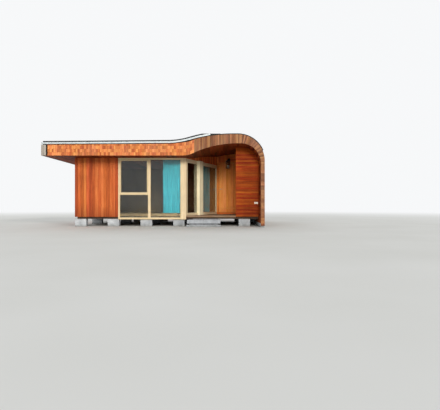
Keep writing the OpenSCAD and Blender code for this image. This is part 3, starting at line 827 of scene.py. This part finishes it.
def roof_sheets():
    """Lapped lengths of sheet, and the strips that show as a dark line over the arch."""
    roof = Solids("roof_sheets", 41)
    start, end, pitch = 0.120, OUTER.down_to(MEMBRANE_END_Z), 0.08
    rim, lap, body = 0.05, 0.11, 0.025
    stops = stations(start, end, pitch)
    for k, (y0, y1) in enumerate(splits(-HALF_D + rim, HALF_D - rim, 1.05)):
        lapped = [(y0, 0), (y1, 0), (y1, body), (y0 + lap, body), (y0 + lap - 0.004, SKIN), (y0, SKIN)]
        roof.sweep(stops, lapped if k else rectangle(y0, y1, 0, body))
    stops = stations(OUTER.along(TRIM_END_X), end, pitch)
    for y0, y1 in ((-HALF_D, -HALF_D + rim), (HALF_D - rim, HALF_D)):
        roof.sweep(stops, rectangle(y0, y1, 0, SKIN))
    roof.build(MEMBRANE, "black_sheet", "roof_membrane", smooth=30)


def edge_trim():
    trim = Solids("edge_trim_strips", 42)
    low, high, deep, joint = 0.030, 0.092, 0.050, 0.002
    profile = [(0, low), (0, low + 0.014), (0.003, low + 0.017), (0.003, high - 0.014), (0, high - 0.011),
               (0, high - 0.004), (0.004, high), (deep, high), (deep, low)]
    for side in (-1, 1):
        section = [(side * (HALF_D - d), off) for d, off in profile][::side]
        for s0, s1 in splits(0.0, OUTER.along(TRIM_END_X), 1.9):
            trim.sweep(stations(*slim(s0, s1, joint), 0.09), section)
    for y0, y1 in splits(-HALF_D + deep + 0.003, HALF_D - deep - 0.003, 2.0):
        y0, y1 = slim(y0, y1, joint)
        trim.bar((-HALF_W, y0, EDGE_LEFT + low), (-HALF_W + deep, y1, EDGE_LEFT + high), 1)
    trim.build(TRIM, "pale_trim", "edge_trim")


# Pieces: glazing and door

def surround(solids, outer, inner, y0, y1, matrix=Matrix(), chamfer=0.003):
    """Bars round an opening, the level ones right across. Outlines are x0, x1, z0, z1."""
    x0, x1, z0, z1 = outer
    a0, a1, b0, b1 = inner
    for low, high in ((z0, b0), (b1, z1)):
        solids.bar((x0, y0, low), (x1, y1, high), 0, matrix, chamfer)
    for low, high in ((x0, a0), (a1, x1)):
        solids.bar((low, y0, b0), (high, y1, b1), 2, matrix, chamfer)


def beads(solids, pane, width, y0, y1, matrix=Matrix()):
    """The thin beads that hold a pane."""
    surround(solids, pane, (*slim(*pane[:2], width), *slim(*pane[2:], width)), y0, y1, matrix, 0.002)


def window_bars():
    bars = Solids("window_bars", 51)
    y0, y1 = FRONT_Y, FRONT_Y + 0.080
    side0, side1 = WIN_X0 + 0.062, WIN_X1 - 0.020
    mid0, mid1 = -0.315, -0.225
    sill, head = WIN_Z0 + 0.060, EAVE - 0.062
    rail0, rail1 = 1.230, 1.310
    surround(bars, (WIN_X0, WIN_X1, WIN_Z0, EAVE), (side0, side1, sill, head), y0, y1)
    bars.bar((mid0, y0, sill), (mid1, y1, head), 2)
    bars.bar((side0, y0, rail0), (mid0, y1, rail1), 0)
    sash, front, back = 0.040, y0 - 0.004, y0 + 0.060
    left, right, top = side0 + sash, mid0 - sash, EAVE - 0.100
    low, high = rail1 - sash, top + sash
    for x0, x1 in ((side0, left), (right, mid0)):
        bars.bar((x0 + 0.001, front, low), (x1 - 0.001, back, high), 2)
    for z0, z1 in ((low, rail1), (top, high)):
        bars.bar((left, front, z0), (right, back, z1), 0)
    for pane in ((side0, mid0, sill, rail0), (left, right, rail1, top), (mid1, side1, sill, head)):
        beads(bars, pane, 0.010, y0 + 0.018, y0 + 0.029)
    bars.build(PALE, "pale_frame", "front_window_frame")


def screen_bars():
    """Pale bars outside the glass of the screen, a lighter copy for painted light, and darker ones inside it
    for painted shade.
    """
    bars, inner = Solids("screen_bars", 52), Solids("screen_inner_bars", 57)
    z0, z1, pane0, pane1 = WALL_FOOT, 2.640, 0.508, 2.505
    jamb, half, glass_y = 0.070, 0.006, 0.048
    post0, post1, post_out = 1.035, 1.375, 0.110
    left, right, mid = POST_LEN + jamb, SCREEN_LEN - jamb, (post0 + post1) / 2
    posts = ((post0, mid - half), (mid + half, post1))
    for solids, y0, y1 in ((bars, 0, glass_y), (inner, glass_y, WALL_T)):
        for low, high in ((z0, pane0), (pane1, z1)):
            solids.bar((POST_LEN, y0, low), (SCREEN_LEN, y1, high), 0, AT_SCREEN)
        for s0, s1 in ((POST_LEN, left), *posts, (right, SCREEN_LEN)):
            solids.bar((s0, y0, pane0), (s1, y1, pane1), 2, AT_SCREEN)
    for s0, s1 in posts:
        # The two posts take the lightest tone: a painted highlight.
        bars.bar((s0, -post_out, DECK_TOP), (s1, 0, z1), 2, AT_SCREEN, 0.005, 0.95)
    low, high = (mid - half, -post_out + 0.014, DECK_TOP), (mid + half, WALL_T - 0.01, z1 - 0.01)
    bars.bar(low, high, 2, AT_SCREEN, 0.001)
    for s0, s1 in ((left, post0), (post1, right)):
        beads(bars, (s0, s1, pane0, pane1), 0.012, 0.004, 0.019, AT_SCREEN)
    bars.build(CREAM_PAINTED_LIGHT, "pale_frame", "screen_frame")
    inner.build(SHADED_INNER_FRAME, "pale_frame")


def corner_post():
    """The post between the glazing and the screen, faced with two boards."""
    post = Solids("corner_post_boards", 53)
    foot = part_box("corner_post")[0][2]
    face_t = 0.004
    near = P0 + POST_LEN * U
    inner = near - WALL_T * M
    front = P0 + face_t / U.y * U
    outline = [(WIN_X1, front.y), front.xy, near.xy, inner.xy, (WIN_X1, inner.y)]
    rings = [[(x, y, height(x)) for x, y in outline] for height in (lambda x: WALL_FOOT, INNER.z)]
    post.rings(rings, [[(z, x + y, 3.0) for x, y, z in ring] for ring in rings], 0.55)
    middle = (WIN_X1 + SCREEN_X) / 2
    for x0, x1 in ((WIN_X1, middle), (middle, SCREEN_X)):
        outline = strip(*slim(x0, x1, 0.001), lambda a: foot, lambda a: INNER.z(a) - 0.002)
        post.board(outline, FRONT, -0.088, 0, 0.003)
    post.build(PALE, "pale_frame", "corner_post")


def door_frame():
    bars = Solids("door_frame_bars", 54)
    jamb0, jamb1, sill, head, z1 = 0.050, DOOR_WALL - 0.050, 0.505, 2.710, 2.760
    stop, y0, y1 = 0.018, 0.004, LEAF_Y0 - 0.001
    surround(bars, (0, DOOR_WALL, WALL_FOOT, z1), (jamb0, jamb1, sill, head), 0, WALL_T, AT_DOOR, 0.004)
    for x0, x1 in ((jamb0, jamb0 + stop), (jamb1 - stop, jamb1)):
        bars.bar((x0, y0, sill), (x1, y1, head), 2, AT_DOOR)
    bars.bar((jamb0 + stop, y0, head - stop), (jamb1 - stop, y1, head), 0, AT_DOOR)
    bars.build(DOOR, "door_wood", "door_frame")


def door_leaf():
    """Boards on both sides of a core, and a weather bar across the foot."""
    leaf = Solids("door_leaf_boards", 55)
    x0, x1, z0, z1 = 0.060, 0.875, 0.510, 2.705
    outside, inside = Face(P1 + LEAF_Y0 * U, M), Face(P1 + LEAF_Y1 * U, -M)
    for a0, a1 in splits(x0, x1, 0.116):
        leaf.board(rectangle(*slim(a0, a1, 0.001), z0, z1), outside, -0.016, 0, 0.004)
        leaf.board(rectangle(*slim(-a1, -a0, 0.001), z0, z1), inside, -0.012, 0, 0.003)
    leaf.bar((x0 + 0.001, LEAF_Y0 + 0.0165, z0), (x1 - 0.001, LEAF_Y1 - 0.0125, z1), 2, AT_DOOR, 0.002)
    bottom, top, out = 0.672, 0.700, 0.022
    profile = [(0, bottom), (0, top), (-out + 0.008, top - 0.010), (-out, top - 0.016), (-out, bottom)]
    rings = [[AT_DOOR @ Vector((x, LEAF_Y0 + y, z)) for y, z in profile] for x in slim(x0, x1, 0.04)]
    leaf.rings(rings, [[(x, z, 7.0) for y, z in profile] for x in (0, x1 - x0)], 0.95)
    leaf.build(DOOR, "door_wood", "door_leaf", body="door")


def door_handle():
    """A lever with its rose, on each side of the leaf."""
    grip = Solids("door_lever", 56)
    x, z, curve = 0.135, 1.555, 0.012
    rose = [(0.026, 0), (0.026, 0.005), (0.023, 0.008), (0.011, 0.009), (0.009, 0.012), (0.009, 0.040)]
    bend = [(curve - curve * cos(a), 0, 0.034 + curve * sin(a)) for a in spaced(0, pi / 2, 6)]
    bend = [(0, 0, 0.036), *bend, (0.06, 0, 0.046), (0.105, 0, 0.044), (0.112, 0, 0.040)]
    for y, out in ((LEAF_Y0, -1), (LEAF_Y1, 1)):
        here = AT_DOOR @ Matrix.Translation((x, y, z)) @ Matrix.Rotation(-out * pi / 2, 4, "X")
        grip.lathe(rose, here, 28)
        grip.tube(bend, 0.0075, here, 12)
    grip.build(STEEL, "handle_steel", "door_handle", body="door", smooth=40)


def curtain(name, node, matrix, x0, x1, y_mid, z1, folds, seed):
    """A gathered curtain, its folds a little wider towards the hem."""
    rnd = random.Random(seed)
    columns, rows = folds * 12, 26
    deep, sway, edge = 0.0125, 0.004, 0.006
    shifts = [rnd.uniform(-0.5, 0.5) for _ in range(folds + 2)]
    z0, turn = 0.522, 2 * pi

    def spot(t, h):
        """The point a share t across and h up."""
        k = t * folds
        i = int(min(k, folds - 1e-6))
        phase = shifts[i] + (shifts[i + 1] - shifts[i]) * (k - i)
        y = deep * (0.75 + 0.25 * sin(3.1 * k + seed)) * (1 - 0.25 * h) * sin(turn * k + phase)
        slip = sway * sin(turn * (k + 0.25) + phase) * (1 - h) * sin(pi * t)
        x = x0 + edge + (x1 - x0 - 2 * edge) * t + slip
        return matrix @ Vector((x, y_mid + y, z0 + (z1 - z0) * h))

    points = [spot(c / columns, r / rows) for r in range(rows + 1) for c in range(columns + 1)]
    corners = [r * (columns + 1) + c for r in range(rows) for c in range(columns)]
    faces = [(k, k + 1, k + columns + 2, k + columns + 1) for k in corners]
    piece = make_piece(name, points, faces, [CURTAIN], "cabin", (node,), 180)


def curtains():
    curtain("front_curtain", "curtain_front", Matrix(), WIN_X1 - 0.714, WIN_X1 - 0.010, FRONT_Y + 0.100,
            EAVE - 0.003, folds=9, seed=5)
    curtain("screen_curtain", "curtain_screen", AT_SCREEN, 1.463, 2.663, WALL_T + 0.0203, 2.697,
            folds=15, seed=8)


# Pieces: ground and fittings

def pier_blocks():
    """Pairs of blocks, one on the other, with their mortar joint set back."""
    blocks = Solids("pier_blocks", 61)
    low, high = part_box("foundation_blocks")
    half_x, half_y, joint0, joint1, back, columns = 0.225, 0.110, 0.142, 0.147, 0.008, 6
    for i in range(columns):
        x = low[0] + half_x + i * (high[0] - low[0] - 2 * half_x) / (columns - 1)
        for y in (FRONT_Y + 0.210, 0.0, REAR_Y - 0.180):
            for z0, z1 in ((0, joint0), (joint1, high[2])):
                slip = blocks.vary(0.004)
                blocks.bar((x - half_x + slip, y - half_y, z0), (x + half_x - slip, y + half_y, z1), 0,
                           chamfer=0.007)
            blocks.bar((x - half_x + back, y - half_y + back, joint0 - 0.001),
                       (x + half_x - back, y + half_y - back, joint1 + 0.001), 0, chamfer=0.001)
    blocks.build(CONCRETE, "concrete", "foundation_blocks")


def step_slabs():
    """The step: a course of blocks between two layers of slabs."""
    step = Solids("step_slabs", 62)
    x0, x1 = SCREEN_X + 0.042, SCREEN_X + 1.362
    y0, y1 = FRONT_Y - 0.440, FRONT_Y + 0.100
    for side, front, pitch, joint, z0, z1, chamfer in (
        (0, 0, 0.66, 0.002, 0, 0.075, 0.006),
        (0.110, 0.110, 0.22, 0.004, 0.0753, 0.128, 0.005),
        (0.025, 0.015, 0.64, 0.002, 0.1283, 0.268, 0.006),
    ):
        for a0, a1 in splits(x0 + side, x1 - side, pitch):
            step.bar((a0 + joint, y0 + front, z0), (a1 - joint, y1, z1), 0, chamfer=chamfer)
    step.build(SLAB, "stone_slab", "porch_step")


def footing():
    lengths = Solids("footing_lengths", 63)
    for a0, a1 in splits(0.080 - HALF_D, HALF_D - 0.080, 1.25):
        lengths.bar((LEG_IN - 0.010, a0 + 0.002, 0), (HALF_W - 0.005, a1 - 0.002, LEG_FOOT), 1, chamfer=0.006)
    lengths.build(CONCRETE, "concrete", "leg_footing")


def deck():
    """Boards cut to the porch's splayed sides, and the board along their front."""
    boards = Solids("deck_boards", 64)
    edge, chamfer = 0.028, 0.004
    sides = [(P0.xy + GAP * M.xy, M.xy), (P1.xy - GAP * U.xy, -U.xy),
             (CHEEK.xy - Vector((GAP, 0)), CHEEK_FACE.normal.xy)]
    for b0, b1 in splits(FRONT_Y + edge, P1.y, 0.120):
        outline = rectangle(SCREEN_X, CHEEK_X + 0.3, *slim(b0, b1, 0.003))
        for point, inward in sides:
            outline = clip(outline, point, inward)
        boards.board(outline, DECK, -edge, 0, chamfer, False)
    boards.board(rectangle(*slim(SCREEN_X, CHEEK_X, GAP), 0.350, DECK_TOP), FRONT, -edge, 0, chamfer, False)
    boards.build(DECKING, "deck_board", "porch_deck", "porch_edge_board")


def lantern_body(x, out, base, here):
    """Back plate, arm, scroll, roof, and an open cage on a tray."""
    top = base + 0.330
    body = Solids("lantern_body", 71)
    body.bar((x - 0.045, -0.014, top - 0.02), (x + 0.045, 0, top + 0.13), 2, AT_DOOR, 0.005)
    arm = [(x, -0.012 - (out - 0.012) * (1 - cos(a)) / 2, top + 0.058 + 0.062 * sin(a))
           for a in spaced(0, pi, 14)]
    body.tube(arm, 0.007, AT_DOOR)
    scroll = [(x, -0.014 - 0.05 * k / 6, top + 0.085 * (k / 6) ** 0.6) for k in range(7)]
    body.tube(scroll, 0.005, AT_DOOR, 8)
    roof = [(0.110, 0), (0.112, 0.004), (0.088, 0.014), (0.060, 0.030), (0.034, 0.046), (0.018, 0.052),
            (0.010, 0.060), (0.014, 0.068), (0.004, 0.076)]
    body.lathe([(r, top + h) for r, h in roof], here, 32)
    tray, cage, bar, plate = 0.085, 0.075, 0.010, 0.012
    for half, low, high, chamfer in (
        (tray, base, base + plate, 0.003), (cage, base + plate, base + 0.024, 0.003),
        (cage, top - plate, top + 0.002, 0.002),
    ):
        body.bar((-half, -half, low), (half, half, high), 0, here, chamfer)
    ends = ((-cage, bar - cage), (cage - bar, cage))
    for x0, x1 in ends:
        for y0, y1 in ends:
            body.bar((x0, y0, base + 0.020), (x1, y1, top), 2, here, 0.002)
    body.build(IRON, "dark_metal", "wall_lantern", smooth=35)


def lantern_bulb(base, here):
    bulb = Solids("lantern_bulb", 73)
    round_part = [(0.012 + 0.022 * sin(a), base + 0.112 - 0.037 * cos(a))
                  for a in spaced(0, pi, 9)[1:-1]]
    cap = [(0.016, base + 0.024), (0.016, base + 0.070), (0.020, base + 0.075)]
    bulb.lathe([*cap, *round_part, (0.003, base + 0.150)], here, 20)
    bulb.build(COVER, "white_cover", smooth=50)


def lantern():
    x, out, base = 0.605, 0.150, 2.470
    here = AT_DOOR @ Matrix.Translation((x, -out, 0))
    lantern_body(x, out, base, here)
    lantern_bulb(base, here)


def vent():
    """A square cover with sloping slats."""
    cover = Solids("vent_cover", 74)
    (x0, y0, z0), (x1, y1, z1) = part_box("wall_vent")
    rim, deep = 0.012, 0.014
    a0, a1, b0, b1 = *slim(x0, x1, rim), *slim(z0, z1, rim)
    surround(cover, (x0, x1, z0, z1), (a0, a1, b0, b1), y0, y1)
    cover.bar((a0, y1 - 0.003, b0), (a1, y1, b1), 0, chamfer=0.001)
    for low, high in splits(b0, b1, 0.013):
        slat = [(0, low + 0.001), (deep, high - 0.004), (deep, high - 0.002), (0, low + 0.003)]
        rings = [[(x, y0 + 0.002 + y, z) for y, z in slat] for x in (a1, a0)]
        cover.rings(rings, rings)
    cover.build(COVER, "white_cover", "wall_vent")


# Everything in the scene

def plain_nodes():
    """CAD nodes whose own shape is right get their finish."""
    for material, *names in (
        (JOISTS, "floor_frame"), (SHADED_FLOOR, "floor_panel"), (GLASS, "window_glass"), (MEMBRANE, "roof_kerb"),
        (STEEL, "hinge_plates", "leaf_hinges"),
        # These take the near-black backing: painted shade.
        (SHADE_BACKING, "inner_post", "roof_left", "roof_wave", "roof_crown"),
    ):
        for name in names:
            mesh = frame["nodes"][name].data
            mesh.materials.clear()
            mesh.materials.append(material)


def stage():
    """A pale floor that runs into the background far from the cabin."""
    bpy.ops.mesh.primitive_plane_add(size=400, location=(0, 0, -0.002))
    ground = bpy.context.object
    ground.name = "ground"
    sh = Shader("pale_ground")
    cloud = sh.noise(sh.position(), 0.4, 3, 0.5)
    base = sh.ramp(cloud, (0.3, colour(216, 216, 212)), (0.7, colour(222, 222, 219)))
    floor = sh.principled(base, 0.95, 0.1)
    backdrop = sh.add("Emission", Color=SKY, Strength=1.0)
    distance = sh.add("VectorMath", "Value", sh.position(), operation="LENGTH")
    far = sh.range(distance, 0.0, 1.0, 9.0, 42.0, "SMOOTHSTEP")
    seen = sh.math("MULTIPLY", far, sh.add("LightPath", "Is Camera Ray"))
    ground.data.materials.append(sh.done(sh.blend(seen, floor, backdrop)))


def world():
    """One sky for the camera, also seen in glass and metal, and one that lights the cabin."""
    sh = Shader("soft_sky", bpy.data.worlds)
    seen = sh.add("Background", Color=SKY)
    lit = sh.add("Background", Color=(0.94, 0.97, 1.0, 1), Strength=0.44)
    rays = sh.add("LightPath").node.outputs
    shows = rays["Is Camera Ray"]
    for ray in ("Is Glossy Ray", "Is Transmission Ray"):
        shows = sh.math("MAXIMUM", shows, rays[ray])
    scene.world = sh.done(sh.blend(shows, lit, seen), "World")


def sun(name, turn, rise, strength, spread, tint):
    """A far soft lamp: turn to the right of the front, rise above the ground, in degrees."""
    light = bpy.data.lights.new(name, "SUN")
    light.energy, light.angle, light.color = strength, radians(spread), tint
    add_object(name, light).rotation_euler = (radians(90 - rise), 0, radians(turn))


def camera():
    eye = bpy.data.cameras.new("photo_view")
    eye.sensor_width, eye.lens, eye.clip_end = 36.0, 34.36, 300
    holder = add_object("photo_view", eye)
    holder.location = (2.476, -18.7, 0.83)
    holder.rotation_euler = (pi / 2, 0, 0)
    scene.camera = holder


camera()
world()
sun("key", 3, 15, 1.6, 14, (1.0, 0.95, 0.86))
sun("fill", -28, 16, 0.45, 18, (1.0, 0.98, 0.94))
sun("side", 38, 21, 1.0, 8, (1.0, 0.98, 0.94))
sun("back", 205, 50, 0.7, 60, (0.92, 0.96, 1.0))
stage()
plain_nodes()
cores()
edge_boards()
arch_boards()
corner_boards()
wall_boards()
porch_boards()
side_boards()
soffit_boards()
leg_boards()
roof_sheets()
edge_trim()
window_bars()
screen_bars()
corner_post()
door_frame()
door_leaf()
door_handle()
curtains()
pier_blocks()
step_slabs()
footing()
deck()
lantern()
vent()

scene.view_settings.view_transform = "Standard"
bpy.context.view_layer.update()
